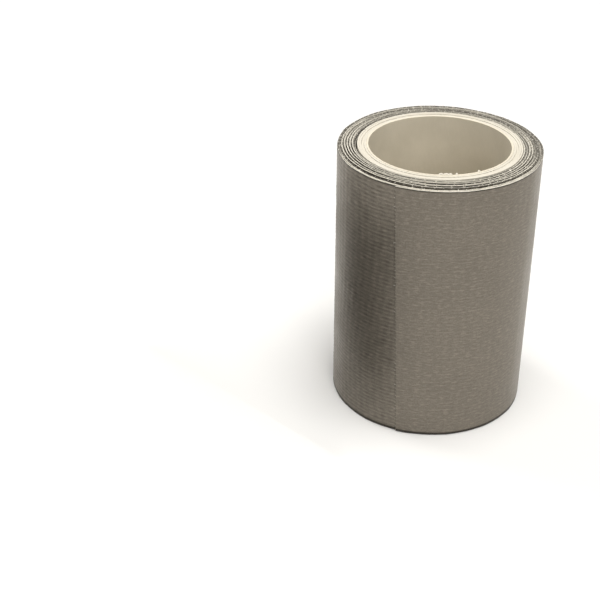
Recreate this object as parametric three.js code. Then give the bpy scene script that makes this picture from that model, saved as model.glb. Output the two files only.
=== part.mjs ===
// A compact roll of cloth duct tape on a paper core, standing on its end.
// Millimetres. +Z runs up the roll's axis. The origin is the centre of the lower end face.
//
// The tape is one long web of three layers: a polyethylene film outside, a woven scrim under it
// and a pressure-sensitive adhesive inside. It starts stuck to the core and is wound outwards as
// a spiral. The last stretch, up to the cut end, is the free tail, which peels open on the roll.
import * as THREE from "three";

// Core: concentric plies of paper board, from the bore outwards.
const CORE_BORE = 25.4;
const LINER_PLY = 0.38;
const BODY_PLY = 0.4;
const BODY_PLY_COUNT = 3;
const OUTER_PLY = 0.34;
const GLUE_LINE = 0.02;

// Web: its width, its length from the core to the cut end, and its layers.
const TAPE_WIDTH = 50.8;
const TAPE_LENGTH = 1524;
const FILM = 0.07;
const SCRIM = 0.06;
const ADHESIVE = 0.08;
const LAYER_GAP = 0.01;
const EDGE_SETBACK = 0.05;

// Tail: the stretch that peels open, and where its cut end lies round the roll.
const TAIL_LENGTH = 24;
const TAIL_CUT_AZIMUTH = THREE.MathUtils.degToRad(248);
const PEEL_GAP = 0.3;

// Every round is a polygon with its corners at the same azimuths, so that thin layers nest.
const FACETS_PER_TURN = 24;
const FULL_TURN = 2 * Math.PI;
const FACET_ANGLE = FULL_TURN / FACETS_PER_TURN;
const SHORTEST_FACET = 0.05;

// Lifts of the layers' faces above the inner face of the web, and the step from turn to turn.
const ADHESIVE_LIFT = 0;
const SCRIM_LIFT = ADHESIVE_LIFT + ADHESIVE + LAYER_GAP;
const FILM_LIFT = SCRIM_LIFT + SCRIM + LAYER_GAP;
const WEB_THICKNESS = FILM_LIFT + FILM;
const PITCH = WEB_THICKNESS + LAYER_GAP;

const FINISHES = {
  liner: { color: 0xcfc5ae, roughness: 0.85, metalness: 0 },
  board: { color: 0xd9cfb8, roughness: 0.9, metalness: 0 },
  film: { color: 0x7e766b, roughness: 0.35, metalness: 0 },
  scrim: { color: 0xcbc6b8, roughness: 0.9, metalness: 0 },
  adhesive: { color: 0x8d867a, roughness: 0.6, metalness: 0 },
};

// One named piece of the roll.
function piece(name, geometry, finish) {
  const mesh = new THREE.Mesh(geometry, new THREE.MeshStandardMaterial(FINISHES[finish]));
  mesh.name = name;
  return mesh;
}

// A ply of the core: a tube from the lower end face to the upper one.
function plyGeometry(innerRadius, thickness) {
  const outerRadius = innerRadius + thickness;
  const profile = [
    new THREE.Vector2(innerRadius, 0),
    new THREE.Vector2(outerRadius, 0),
    new THREE.Vector2(outerRadius, TAPE_WIDTH),
    new THREE.Vector2(innerRadius, TAPE_WIDTH),
    new THREE.Vector2(innerRadius, 0),
  ];
  return new THREE.LatheGeometry(profile, FACETS_PER_TURN).rotateX(Math.PI / 2);
}

// The core's plies with their names, thicknesses and finishes, from the bore outwards.
function corePlies() {
  const plies = [{ name: "core_inner_liner", thickness: LINER_PLY, finish: "liner" }];
  for (let i = 1; i <= BODY_PLY_COUNT; i += 1) {
    plies.push({ name: `core_board_ply_${i}`, thickness: BODY_PLY, finish: "board" });
  }
  plies.push({ name: "core_outer_wrap", thickness: OUTER_PLY, finish: "board" });
  return plies;
}

// Builds the core and gives back the radius of its outside.
function addCore(group) {
  let radius = CORE_BORE / 2;
  for (const ply of corePlies()) {
    group.add(piece(ply.name, plyGeometry(radius, ply.thickness), ply.finish));
    radius += ply.thickness + GLUE_LINE;
  }
  return radius - GLUE_LINE;
}

// The spiral that the web's inner face follows, from the core out to the cut end.
// The azimuth falls as the radius grows, so the cut end has the lowest azimuth of all.
class Winding {
  constructor(coreRadius) {
    this.startRadius = coreRadius + LAYER_GAP;
    const midRadius = this.startRadius + WEB_THICKNESS / 2;
    const reach = Math.sqrt(midRadius ** 2 + (PITCH * TAPE_LENGTH) / Math.PI);
    this.turns = (reach - midRadius) / PITCH;
    this.cutAzimuth = TAIL_CUT_AZIMUTH;
    this.startAzimuth = TAIL_CUT_AZIMUTH + this.turns * FULL_TURN;
    const outsideRadius = this.radiusAt(this.cutAzimuth) + WEB_THICKNESS;
    this.rootAzimuth = this.cutAzimuth + TAIL_LENGTH / outsideRadius;
    this.woundEndAzimuth = this.rootAzimuth + PEEL_GAP / outsideRadius;
  }

  // Radius of the web's inner face.
  radiusAt(azimuth) {
    return this.startRadius + (PITCH * (this.startAzimuth - azimuth)) / FULL_TURN;
  }

  // A corner of the polygon that a face of the web follows.
  corner(index, lift) {
    const azimuth = index * FACET_ANGLE;
    const radius = this.radiusAt(azimuth) + lift;
    return new THREE.Vector2(radius * Math.cos(azimuth), radius * Math.sin(azimuth));
  }

  // A point on a flat of that polygon.
  point(azimuth, lift) {
    const facet = azimuth / FACET_ANGLE;
    const first = Math.floor(facet);
    return this.corner(first, lift).lerp(this.corner(first + 1, lift), facet - first);
  }

  // The azimuths of a stretch: its two ends and every corner between them, outwards.
  azimuths(from, to) {
    const stops = [from];
    for (let i = Math.floor(from / FACET_ANGLE - SHORTEST_FACET); i * FACET_ANGLE > to; i -= 1) {
      if (i - to / FACET_ANGLE > SHORTEST_FACET) stops.push(i * FACET_ANGLE);
    }
    stops.push(to);
    return stops;
  }

  // One layer of the web over a stretch of the winding, set back from both edges of the tape.
  layer(from, to, lift, thickness, setback) {
    const stops = this.azimuths(from, to);
    const outside = stops.map((azimuth) => this.point(azimuth, lift + thickness));
    const inside = stops.map((azimuth) => this.point(azimuth, lift)).reverse();
    const outline = new THREE.Shape([...outside, ...inside]);
    const depth = TAPE_WIDTH - 2 * setback;
    const geometry = new THREE.ExtrudeGeometry(outline, { depth, bevelEnabled: false });
    return geometry.translate(0, 0, setback);
  }
}

// The three layers of one stretch of the web, named after the stretch.
function addWeb(group, winding, stretch, from, to) {
  const film = winding.layer(from, to, FILM_LIFT, FILM, 0);
  const scrim = winding.layer(from, to, SCRIM_LIFT, SCRIM, EDGE_SETBACK);
  const adhesive = winding.layer(from, to, ADHESIVE_LIFT, ADHESIVE, EDGE_SETBACK);
  group.add(piece(`${stretch}_backing_film`, film, "film"));
  group.add(piece(`${stretch}_scrim_cloth`, scrim, "scrim"));
  group.add(piece(`${stretch}_adhesive`, adhesive, "adhesive"));
}

const roll = new THREE.Group();
const winding = new Winding(addCore(roll));
addWeb(roll, winding, "wound", winding.startAzimuth, winding.woundEndAzimuth);
addWeb(roll, winding, "tail", winding.rootAzimuth, winding.cutAzimuth);

export default roll;
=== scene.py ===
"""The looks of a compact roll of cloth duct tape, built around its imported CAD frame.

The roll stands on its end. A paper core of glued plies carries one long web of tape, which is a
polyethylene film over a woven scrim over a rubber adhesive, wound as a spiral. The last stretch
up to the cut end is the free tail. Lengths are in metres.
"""

import logging
import math
from dataclasses import dataclass, field
from enum import Enum

import bpy
import numpy as np
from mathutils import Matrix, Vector


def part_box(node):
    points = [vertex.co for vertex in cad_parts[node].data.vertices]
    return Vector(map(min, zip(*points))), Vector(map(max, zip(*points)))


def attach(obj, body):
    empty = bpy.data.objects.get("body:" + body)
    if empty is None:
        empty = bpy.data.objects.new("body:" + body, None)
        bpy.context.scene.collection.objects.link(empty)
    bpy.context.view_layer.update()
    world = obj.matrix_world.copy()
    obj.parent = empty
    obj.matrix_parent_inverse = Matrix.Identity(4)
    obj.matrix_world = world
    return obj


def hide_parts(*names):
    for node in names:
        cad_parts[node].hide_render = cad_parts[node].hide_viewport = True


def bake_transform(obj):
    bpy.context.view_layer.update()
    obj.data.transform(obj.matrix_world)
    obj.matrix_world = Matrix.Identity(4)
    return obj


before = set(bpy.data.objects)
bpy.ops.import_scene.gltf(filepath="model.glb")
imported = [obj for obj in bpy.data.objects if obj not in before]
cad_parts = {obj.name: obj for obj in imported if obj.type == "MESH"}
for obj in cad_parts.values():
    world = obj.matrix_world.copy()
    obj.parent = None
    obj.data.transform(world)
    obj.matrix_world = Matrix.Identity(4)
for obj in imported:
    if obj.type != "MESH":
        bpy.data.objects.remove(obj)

MM = 0.001
CM = 0.01
TAU = 2.0 * math.pi
# Names of the shares that the finishes read: how pale a slit edge is, with painted light and shade in it;
# how deep in the weave's openings a place lies, which drives painted shade; and how strongly a knob gets a
# painted glint.
PALE_EDGE_AND_SHADE = "proud"
SUNK_SHADE = "sunk"
PAINTED_GLINT = "raised"
MID_NOISE = (0.3, 0.7)  # the stretch of values that most of a cloudy noise lies in
LOG = logging.getLogger("tape_roll")

Array = np.ndarray
Color = tuple[float, float, float]


class Body(Enum):
    """The CAD bodies that pieces ride on."""

    ROLL = "roll"
    TAIL = "tail"


class Slot(Enum):
    """The record's material slots."""

    LINER = "core_liner"
    BOARD = "core_board"
    FILM = "backing_film"
    SCRIM = "scrim_cloth"
    ADHESIVE = "adhesive"


# ---------------------------------------------------------------------------------------------
# Smooth unevenness
# ---------------------------------------------------------------------------------------------


@dataclass(frozen=True)
class Unevenness:
    """A smooth, repeatable waviness over one or two lengths, between about -1 and 1.

    Attributes:
        seed: Picks one pattern.
        along: Typical wavelength in the first direction.
        across: Typical wavelength in the second direction.
        waves: How many sine waves are summed.
    """

    seed: int
    along: float
    across: float = 1.0
    waves: int = 9

    def at(self, first: Array, second: Array | float = 0.0) -> Array:
        """Evaluates the waviness.

        Args:
            first: Places in the first direction.
            second: Places in the second direction.

        Returns:
            One height for each place.
        """
        draw = np.random.default_rng(self.seed)
        total = np.zeros(np.broadcast(first, second).shape)
        for _ in range(self.waves):
            stretch_a, stretch_b = draw.uniform(0.55, 1.8, 2)
            turn_b = draw.choice((-1.0, 1.0))
            phase = draw.uniform(0.0, TAU)
            total += np.sin(
                TAU * (first * stretch_a / self.along + turn_b * second * stretch_b / self.across)
                + phase
            )
        return total / math.sqrt(self.waves)


# ---------------------------------------------------------------------------------------------
# Modelling steps that every piece uses
# ---------------------------------------------------------------------------------------------


def clear_selection() -> None:
    """Deselects everything, so that the next operator acts on its own piece alone."""
    if bpy.context.object is not None and bpy.context.object.mode != "OBJECT":
        bpy.ops.object.mode_set(mode="OBJECT")
    bpy.ops.object.select_all(action="DESELECT")


def activate(piece: bpy.types.Object) -> None:
    """Makes one piece the selected, active object.

    Args:
        piece: The piece.
    """
    clear_selection()
    piece.select_set(True)
    bpy.context.view_layer.objects.active = piece


def named_active(name: str) -> bpy.types.Object:
    """Names the object that an operator has just added, and its mesh.

    Args:
        name: The name for both.

    Returns:
        The object.
    """
    piece = bpy.context.object
    piece.name = name
    piece.data.name = name
    return piece


def flat_sheet(name: str, columns: int, rows: int) -> bpy.types.Object:
    """Adds a flat sheet of unit size, ready to be shaped.

    Args:
        name: The piece's name.
        columns: Faces along X.
        rows: Faces along Y.

    Returns:
        The sheet, one unit square about the origin.
    """
    clear_selection()
    bpy.ops.mesh.primitive_grid_add(x_subdivisions=columns, y_subdivisions=rows, size=1.0)
    return named_active(name)


def points_of(piece: bpy.types.Object) -> Array:
    """The piece's vertices as an array.

    Args:
        piece: The piece.

    Returns:
        One row of three coordinates for each vertex.
    """
    flat = np.empty(len(piece.data.vertices) * 3)
    piece.data.vertices.foreach_get("co", flat)
    return flat.reshape(-1, 3)


def move_points(piece: bpy.types.Object, points: Array) -> None:
    """Puts the piece's vertices at these points."""
    piece.data.vertices.foreach_set("co", np.ascontiguousarray(points, float).ravel())
    piece.data.update()


def shares_of(sheet: bpy.types.Object) -> tuple[Array, Array]:
    """How far along and across a flat sheet each of its vertices is, from 0 to 1."""
    flat = points_of(sheet)
    return flat[:, 0] + 0.5, flat[:, 1] + 0.5


def add_measure_map(sheet: bpy.types.Object, along: Array, across: Array) -> None:
    """Gives a sheet a UV map that holds each corner's place on the flat material, in centimetres.

    Args:
        sheet: The piece.
        along: Each vertex's place along the material, in metres.
        across: Each vertex's place across it, in metres.
    """
    mesh = sheet.data
    corners = np.empty(len(mesh.loops), np.int32)
    mesh.loops.foreach_get("vertex_index", corners)
    layer = mesh.uv_layers[0] if mesh.uv_layers else mesh.uv_layers.new()
    layer.name = "Measure"
    places = np.stack([along[corners], across[corners]], axis=1) / CM
    layer.uv.foreach_set("vector", places.astype(np.float32).ravel())


def add_share(piece: bpy.types.Object, name: str, shares: Array) -> None:
    """Stores a number from 0 to 1 at each vertex, for the piece's finish to read."""
    layer = piece.data.attributes.new(name, "FLOAT", "POINT")
    layer.data.foreach_set("value", np.ascontiguousarray(shares, np.float32))


def apply_modifier(piece: bpy.types.Object, kind: str, **settings: object) -> None:
    """Adds a modifier, sets it and applies it.

    Args:
        piece: The piece to finish.
        kind: The modifier's type, such as SOLIDIFY.
        settings: Its properties.
    """
    activate(piece)
    modifier = piece.modifiers.new(kind.title(), kind)
    for key, value in settings.items():
        setattr(modifier, key, value)
    bpy.ops.object.modifier_apply(modifier=modifier.name)


def smooth(piece: bpy.types.Object, sharp_above: float = 40.0) -> None:
    """Shades the piece smooth, and keeps edges sharper than an angle in degrees crisp."""
    activate(piece)
    bpy.ops.object.shade_smooth_by_angle(angle=math.radians(sharp_above))


def merge_copies(
    name: str, template: bpy.types.Object, places: Array, bases: Array
) -> bpy.types.Object:
    """Copies a small template many times into one mesh.

    Args:
        name: The new piece's name.
        template: A small mesh about the origin. It is used up.
        places: Where each copy goes.
        bases: For each copy, the three vectors that its X, Y and Z become.

    Returns:
        The new piece.
    """
    shape = points_of(template)
    faces = [list(face.vertices) for face in template.data.polygons]
    points = np.einsum("vk,ckj->cvj", shape, bases) + places[:, None, :]
    count = len(shape)
    all_faces = [[i + copy * count for i in face] for copy in range(len(places)) for face in faces]
    mesh = bpy.data.meshes.new(name)
    mesh.from_pydata(points.reshape(-1, 3).tolist(), [], all_faces)
    piece = bpy.data.objects.new(name, mesh)
    bpy.context.scene.collection.objects.link(piece)
    bpy.data.objects.remove(template)
    return piece


# ---------------------------------------------------------------------------------------------
# Finishes
# ---------------------------------------------------------------------------------------------


class Recipe:
    """One material's nodes, built up step by step."""

    def __init__(self, name: str) -> None:
        """Starts an empty material with a Principled shader.

        Args:
            name: The material's name.
        """
        self.material = bpy.data.materials.new(name)
        self.material.use_nodes = True
        self.tree = self.material.node_tree
        self.tree.nodes.clear()
        self.shader = self.add("ShaderNodeBsdfPrincipled")
        output = self.add("ShaderNodeOutputMaterial")
        self.link(self.shader.outputs["BSDF"], output.inputs["Surface"])

    def add(self, kind: str, values: dict | None = None, **settings: object) -> bpy.types.Node:
        """Adds a node.

        Args:
            kind: The node's type.
            values: Defaults for its input sockets, by name or number.
            settings: Its own properties.

        Returns:
            The node.
        """
        node = self.tree.nodes.new(kind)
        for key, value in settings.items():
            setattr(node, key, value)
        for key, value in (values or {}).items():
            node.inputs[key].default_value = value
        return node

    def link(self, source: bpy.types.NodeSocket, target: bpy.types.NodeSocket) -> None:
        """Joins two sockets."""
        self.tree.links.new(source, target)

    def measure(self) -> bpy.types.NodeSocket:
        """The place on the flat material, in centimetres, from the piece's own UV map."""
        return self.add("ShaderNodeUVMap", uv_map="Measure").outputs["UV"]

    def place(self) -> bpy.types.NodeSocket:
        """The place in the piece's own frame, in metres."""
        return self.add("ShaderNodeTexCoord").outputs["Object"]

    def share(self, name: str) -> bpy.types.NodeSocket:
        """A number that the piece stores at its vertices."""
        return self.add("ShaderNodeAttribute", attribute_name=name).outputs["Fac"]

    def split(self, vector: bpy.types.NodeSocket) -> bpy.types.Node:
        """Takes a vector apart.

        Args:
            vector: The vector.

        Returns:
            The node whose outputs X, Y and Z are its parts.
        """
        node = self.add("ShaderNodeSeparateXYZ")
        self.link(vector, node.inputs[0])
        return node

    def math(self, operation: str, first: object, second: object = 0.0) -> bpy.types.NodeSocket:
        """Works on one or two numbers.

        Args:
            operation: The operation's name, such as MULTIPLY.
            first: A socket or a plain value.
            second: Another one, where the operation takes two.

        Returns:
            The result.
        """
        node = self.add("ShaderNodeMath", operation=operation)
        for value, target in zip((first, second), node.inputs):
            self.feed(value, target)
        return node.outputs[0]

    def feed(self, value: object, target: bpy.types.NodeSocket) -> None:
        """Links a socket, or sets a plain value.

        Args:
            value: The socket or the value.
            target: The socket that takes it.
        """
        if isinstance(value, bpy.types.NodeSocket):
            self.link(value, target)
        else:
            target.default_value = value

    def stretched(
        self, vector: bpy.types.NodeSocket, scale: tuple[float, float, float]
    ) -> bpy.types.NodeSocket:
        """Scales each direction of the places that a pattern reads.

        Args:
            vector: The places.
            scale: One factor for each direction.

        Returns:
            The scaled places.
        """
        node = self.add("ShaderNodeMapping", {"Scale": scale})
        self.link(vector, node.inputs["Vector"])
        return node.outputs["Vector"]

    def noise(
        self, vector: bpy.types.NodeSocket, scale: float, detail: float = 3.0, rough: float = 0.55
    ) -> bpy.types.NodeSocket:
        """Adds cloudy noise.

        Args:
            vector: The places that it reads.
            scale: How many clouds there are in one unit of length.
            detail: How many finer levels are added.
            rough: How strong each finer level is.

        Returns:
            Values between 0 and 1.
        """
        values = {"Scale": scale, "Detail": detail, "Roughness": rough}
        node = self.add("ShaderNodeTexNoise", values)
        self.link(vector, node.inputs["Vector"])
        return node.outputs["Fac"]

    def ramp(
        self, value: bpy.types.NodeSocket, low: float, high: float, out_low: float, out_high: float
    ) -> bpy.types.NodeSocket:
        """Maps a stretch of values onto another, and holds the ends.

        Args:
            value: The values.
            low: Where the stretch starts.
            high: Where it ends.
            out_low: What its start becomes.
            out_high: What its end becomes.

        Returns:
            The mapped values.
        """
        values = {1: low, 2: high, 3: out_low, 4: out_high}
        node = self.add("ShaderNodeMapRange", values, clamp=True)
        self.link(value, node.inputs[0])
        return node.outputs[0]

    def blend(
        self, share: object, first: object, second: object, mode: str = "MIX"
    ) -> bpy.types.NodeSocket:
        """Mixes two colours.

        Args:
            share: How much of the second colour there is, from 0 to 1.
            first: A socket or a plain colour.
            second: Another one.
            mode: How they are mixed.

        Returns:
            The mixed colour.
        """
        node = self.add("ShaderNodeMix", data_type="RGBA", blend_type=mode)
        self.feed(share, node.inputs[0])
        for value, target in ((first, node.inputs[6]), (second, node.inputs[7])):
            self.feed((*value, 1.0) if isinstance(value, tuple) else value, target)
        return node.outputs[2]

    def bump(self, height: bpy.types.NodeSocket, depth: float, strength: float = 1.0) -> None:
        """Adds fine relief to the shader, on top of any that it has.

        Args:
            height: The relief's height, from 0 to 1.
            depth: What a height of 1 stands for, in metres.
            strength: How strongly the relief shows.
        """
        values = {"Strength": strength, "Distance": depth}
        node = self.add("ShaderNodeBump", values)
        self.link(height, node.inputs["Height"])
        if self.shader.inputs["Normal"].links:
            self.link(self.shader.inputs["Normal"].links[0].from_socket, node.inputs["Normal"])
        self.link(node.outputs["Normal"], self.shader.inputs["Normal"])

    def set(self, **values: object) -> None:
        """Sets or feeds the shader's sockets, named with underscores for spaces."""
        for key, value in values.items():
            self.feed(value, self.shader.inputs[key.replace("_", " ")])


@dataclass(frozen=True)
class FilmFinish:
    """Silver-grey polyethylene film, pressed over the scrim's yarns.

    Tones that are plain numbers are shares of the film's own colour.

    Attributes:
        name: The material's name.
        color: The film's own colour.
        pale: The colour of its stress-whitened slit edges, which also stands for painted light on them.
        roughness: How matt it is.
        width: Width of the tape.
        edge: Width of the slit edge's band, which is whitened where the turn stands proud and in painted
            shade where it lies back.
        shade_line: Width of the painted shade line beside it.
        cloud_tones: The darkest and the palest tone of the broad clouds.
        streak_tone: The pale streaks that run along the tape.
        speck_tone: The fine dark specks.
        dash_tone: The fine pale dashes.
        opening_shade_tone: The film where it sinks into the openings of the weave, darker as it is thinner
            there and with painted shade.
        glint_tone: Painted glints on the film's knobs over the yarns.
        shade_line_tone: The painted shade line beside the edges.
        foot_shadow_tone: The painted contact shadow along the foot, at the floor.
        back_shade_tone: The painted shade on the slit edge of a turn that lies back.
    """

    name: str = "film"
    color: Color = (0.194, 0.172, 0.142)
    pale: Color = (0.86, 0.82, 0.72)
    roughness: float = 0.36
    width: float = 50.8 * MM
    edge: float = 0.13 * MM
    shade_line: float = 0.66 * MM
    cloud_tones: tuple[float, float] = (0.88, 1.10)
    streak_tone: float = 1.2
    speck_tone: float = 0.64
    dash_tone: float = 1.55
    opening_shade_tone: float = 0.34
    glint_tone: float = 1.6
    shade_line_tone: float = 0.22
    foot_shadow_tone: float = 0.12
    back_shade_tone: float = 0.3

    def make(self) -> bpy.types.Material:
        """Builds the material.

        Returns:
            The material.
        """
        recipe = Recipe(self.name)
        measure = recipe.measure()
        clouds = recipe.noise(recipe.stretched(measure, (0.6, 1.1, 1.0)), 1.0, 4.0)
        shade = self.pressed(recipe, self.mottled(recipe, measure, clouds))
        recipe.set(Base_Color=self.edged(recipe, recipe.split(measure).outputs["Y"], shade))
        matt = (self.roughness - 0.08, self.roughness + 0.1)
        recipe.set(Roughness=recipe.ramp(clouds, *MID_NOISE, *matt))
        recipe.set(Metallic=0.2, Specular_IOR_Level=0.25, Specular_Tint=(1.0, 0.94, 0.84, 1.0))
        recipe.set(Coat_Weight=0.04, Coat_Roughness=0.15)
        recipe.bump(recipe.noise(recipe.stretched(measure, (14.0, 30.0, 1.0)), 1.0, 3.0), 0.02 * MM)
        return recipe.material

    def mottled(
        self, recipe: Recipe, measure: bpy.types.NodeSocket, clouds: bpy.types.NodeSocket
    ) -> bpy.types.NodeSocket:
        """Gives the film its clouds, streaks, specks and dashes.

        Args:
            recipe: The material's nodes.
            measure: The place on the tape.
            clouds: The broad clouds.

        Returns:
            The mottled colour.
        """
        streaks = recipe.noise(recipe.stretched(measure, (1.2, 22.0, 1.0)), 1.0, 3.0)
        specks = recipe.noise(measure, 38.0, 2.0)
        dashes = recipe.noise(recipe.stretched(measure, (9.0, 34.0, 1.0)), 1.0, 2.0)
        dark, pale = (self.scaled(tone) for tone in self.cloud_tones)
        shade = recipe.blend(recipe.ramp(clouds, *MID_NOISE, 0.0, 1.0), dark, pale)
        for share, tone in (
            (recipe.ramp(streaks, *MID_NOISE, 0.0, 0.4), self.streak_tone),
            (recipe.ramp(specks, 0.35, 0.65, 0.6, 0.0), self.speck_tone),
            (recipe.ramp(dashes, 0.5, 0.7, 0.0, 0.6), self.dash_tone),
        ):
            shade = recipe.blend(share, shade, self.scaled(tone))
        return shade

    def pressed(self, recipe: Recipe, shade: bpy.types.NodeSocket) -> bpy.types.NodeSocket:
        """Darkens the openings of the weave, partly as thinner film and partly as painted shade, and paints
        glints on the knobs over its yarns.

        Args:
            recipe: The material's nodes.
            shade: The film's colour so far.

        Returns:
            The colour with the weave in it.
        """
        # Painted shade in the openings of the weave, where the film is also thinner.
        openings = recipe.ramp(recipe.share(SUNK_SHADE), 0.0, 1.0, 0.0, 0.62)
        shade = recipe.blend(openings, shade, self.scaled(self.opening_shade_tone))
        # Painted glints on the knobs over crossing yarns.
        knobs = recipe.ramp(recipe.share(PAINTED_GLINT), 0.0, 0.8, 0.0, 0.68)
        return recipe.blend(knobs, shade, self.scaled(self.glint_tone))

    def edged(
        self, recipe: Recipe, across: bpy.types.NodeSocket, shade: bpy.types.NodeSocket
    ) -> bpy.types.NodeSocket:
        """Adds painted shade beside the slit edges and a painted contact shadow at the foot, and colours the
        slit edges whitened or in painted shade.

        Args:
            recipe: The material's nodes.
            across: The place across the tape, in centimetres.
            shade: The film's colour so far.

        Returns:
            The finished colour.
        """
        middle = self.width / CM / 2
        from_middle = recipe.math("ABSOLUTE", recipe.math("SUBTRACT", across, middle))
        shade_line_from = middle - self.shade_line / CM
        # Painted shade: a dark line beside both slit edges.
        shade_line = recipe.ramp(from_middle, shade_line_from, shade_line_from + self.edge / CM, 0.0, 0.85)
        shade = recipe.blend(shade_line, shade, self.scaled(self.shade_line_tone))
        # Painted contact shadow along the foot, where the roll meets the floor.
        foot = recipe.ramp(across, self.shade_line / CM / 3, self.shade_line / CM, 0.9, 0.0)
        shade = recipe.blend(foot, shade, self.scaled(self.foot_shadow_tone))
        edge_from = middle - self.edge / CM
        edge = recipe.ramp(from_middle, edge_from, edge_from + self.edge / CM / 3, 0.0, 1.0)
        # The slit edge itself: whitened and with painted light where the turn stands proud, painted shade
        # where it lies back.
        tone = recipe.blend(recipe.share(PALE_EDGE_AND_SHADE), self.scaled(self.back_shade_tone), self.pale)
        return recipe.blend(edge, shade, tone)

    def scaled(self, share: float) -> Color:
        """The film's colour, scaled."""
        return tuple(part * share for part in self.color)


@dataclass(frozen=True)
class AdhesiveFinish:
    """Grey-brown rubber adhesive, tacky and a little uneven.

    Attributes:
        name: The material's name.
        color: The adhesive where it is clean.
        pale: Its colour where it is stretched or dusty.
        hollow_shade: Its colour in the openings of the weave, a painted shade.
        edge_shade: The painted shade on its cut edge in a turn that lies back.
        edge_pale: Its cut edge, full of fibres, in a turn that stands proud, which also stands for painted
            light towards the front.
        width: Width of the tape.
        edge: Width of the stretch that is coloured as cut edge.
    """

    name: str = "adhesive"
    color: Color = (0.30, 0.275, 0.235)
    pale: Color = (0.44, 0.41, 0.36)
    hollow_shade: Color = (0.17, 0.155, 0.13)
    edge_shade: Color = (0.045, 0.04, 0.03)
    edge_pale: Color = (0.74, 0.70, 0.61)
    width: float = 50.8 * MM
    edge: float = 0.4 * MM

    def make(self) -> bpy.types.Material:
        """Builds the material.

        Returns:
            The material.
        """
        recipe = Recipe(self.name)
        measure = recipe.measure()
        parts = recipe.split(measure)
        clouds = recipe.noise(measure, 9.0, 4.0)
        base = recipe.blend(recipe.ramp(clouds, 0.35, 0.7, 0.0, 1.0), self.color, self.pale)
        # Painted shade in the openings of the weave.
        base = recipe.blend(recipe.ramp(recipe.share(SUNK_SHADE), 0.0, 0.8, 0.0, 0.7), base, self.hollow_shade)
        middle = self.width / CM / 2
        from_middle = recipe.math("ABSOLUTE", recipe.math("SUBTRACT", parts.outputs["Y"], middle))
        edge = recipe.ramp(from_middle, middle - self.edge / CM, middle - self.edge / CM / 2, 0.0, 1.0)
        fibres = recipe.noise(recipe.place(), 2600.0, 3.0)
        # The cut edge: pale with fibres where the turn stands proud and gets painted light, painted shade
        # where it lies back.
        share = recipe.math("MULTIPLY", recipe.share(PALE_EDGE_AND_SHADE), recipe.ramp(fibres, 0.35, 0.6, 0.45, 1.0))
        tone = recipe.blend(share, self.edge_shade, self.edge_pale)
        recipe.set(Base_Color=recipe.blend(edge, base, tone))
        recipe.set(Roughness=recipe.ramp(clouds, *MID_NOISE, 0.28, 0.55))
        recipe.bump(fibres, 0.02 * MM)
        return recipe.material


@dataclass(frozen=True)
class YarnFinish:
    """Undyed cotton and polyester yarn of the scrim.

    Attributes:
        name: The material's name.
        color: The clean yarn.
        shade: The yarn between its fibres.
        dirt_and_shade: The yarn with adhesive on it, which also serves as painted shade where a turn lies
            back.
    """

    name: str = "yarn"
    color: Color = (0.86, 0.83, 0.75)
    shade: Color = (0.40, 0.37, 0.31)
    dirt_and_shade: Color = (0.20, 0.18, 0.145)

    def make(self) -> bpy.types.Material:
        """Builds the material.

        Returns:
            The material.
        """
        recipe = Recipe(self.name)
        place = recipe.place()
        clumps = recipe.noise(place, 1600.0, 3.0)
        fibres = recipe.noise(place, 9000.0, 2.0)
        tone = recipe.blend(recipe.ramp(clumps, 0.3, 0.65, 0.0, 1.0), self.shade, self.color)
        # Towards the dirty colour: adhesive on the yarn, and painted shade where the turn lies back.
        tone = recipe.blend(recipe.ramp(recipe.share(PALE_EDGE_AND_SHADE), 0.0, 1.0, 0.75, 0.0), tone, self.dirt_and_shade)
        recipe.set(Base_Color=recipe.blend(recipe.ramp(fibres, *MID_NOISE, 0.3, 0.0), tone, self.shade))
        recipe.set(Roughness=recipe.ramp(fibres, *MID_NOISE, 0.75, 0.95), Sheen_Weight=0.25)
        recipe.bump(fibres, 0.01 * MM)
        return recipe.material


@dataclass(frozen=True)
class PaperFinish:
    """Paper board, with fibres and faint mottling.

    Attributes:
        name: The material's name.
        color: The paper's colour.
        stain: The colour that the mottling goes towards.
        grain: How strongly single fibres show.
    """

    name: str
    color: Color
    stain: Color
    grain: float = 0.25

    def make(self) -> bpy.types.Material:
        """Builds the material.

        Returns:
            The material.
        """
        recipe = Recipe(self.name)
        place = recipe.place()
        mottle = recipe.noise(place, 160.0, 4.0)
        fibres = recipe.noise(recipe.stretched(place, (1.0, 1.0, 0.35)), 2600.0, 3.0, 0.7)
        tone = recipe.blend(recipe.ramp(mottle, *MID_NOISE, 0.55, 0.0), self.color, self.stain)
        tone = recipe.blend(recipe.ramp(fibres, 0.35, 0.65, self.grain, 0.0), tone, self.stain)
        recipe.set(Base_Color=tone)
        recipe.set(Roughness=recipe.ramp(fibres, *MID_NOISE, 0.8, 0.95))
        recipe.bump(fibres, 0.03 * MM)
        return recipe.material


@dataclass(frozen=True)
class FloorFinish:
    """The pale matt surface that the roll stands on.

    Attributes:
        name: The material's name.
        color: Its colour.
        roughness: How matt it is.
    """

    name: str = "studio_floor"
    color: Color = (0.85, 0.85, 0.85)
    roughness: float = 0.9

    def make(self) -> bpy.types.Material:
        """Builds the material.

        Returns:
            The material.
        """
        recipe = Recipe(self.name)
        recipe.set(Base_Color=(*self.color, 1.0), Roughness=self.roughness)
        return recipe.material


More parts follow.
